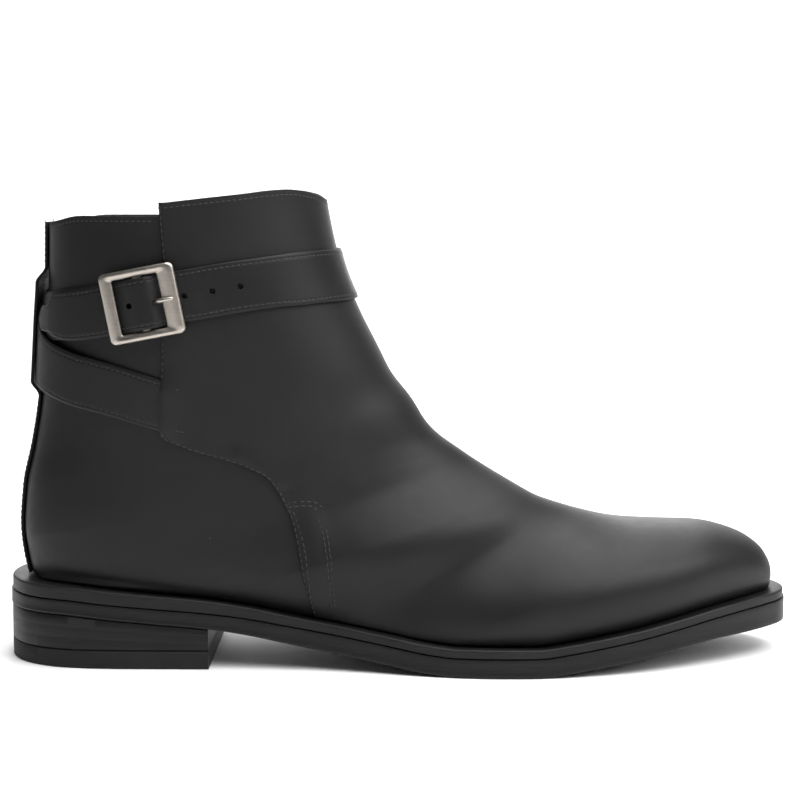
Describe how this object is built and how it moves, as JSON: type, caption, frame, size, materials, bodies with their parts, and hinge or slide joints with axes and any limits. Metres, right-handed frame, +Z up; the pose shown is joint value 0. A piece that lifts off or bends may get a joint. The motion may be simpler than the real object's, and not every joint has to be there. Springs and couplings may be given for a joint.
{
  "type": "leather ankle boot",
  "caption": "Right ankle boot in smooth black leather with a long wrap strap, a side buckle, a welted sole and a low stacked heel.",
  "frame": {"origin": "centre of the heel's tread face, on the floor", "axes": "+X to the toe, -Y to the outer side of the right foot, +Z up"},
  "size_m": [0.304, 0.1041, 0.1796],
  "materials": {
    "upper_leather": "smooth black calf, soft sheen",
    "strap_leather": "smooth black strap leather, soft sheen",
    "sole_leather": "black dyed and burnished edge",
    "heel_rubber": "matt black rubber",
    "buckle_metal": "brushed, darkened in the corners",
    "lining": "dark lining leather"
  },
  "bodies": {
    "root": {"upper": "upper_leather", "back_stay": "strap_leather", "wrap_strap": "strap_leather", "buckle_strap": "strap_leather", "buckle_frame": "buckle_metal", "buckle_prong": "buckle_metal", "welt": "sole_leather", "outsole": "sole_leather", "heel_stack": "sole_leather", "top_lift": "heel_rubber", "insole": "lining"}
  },
  "joints": []
}
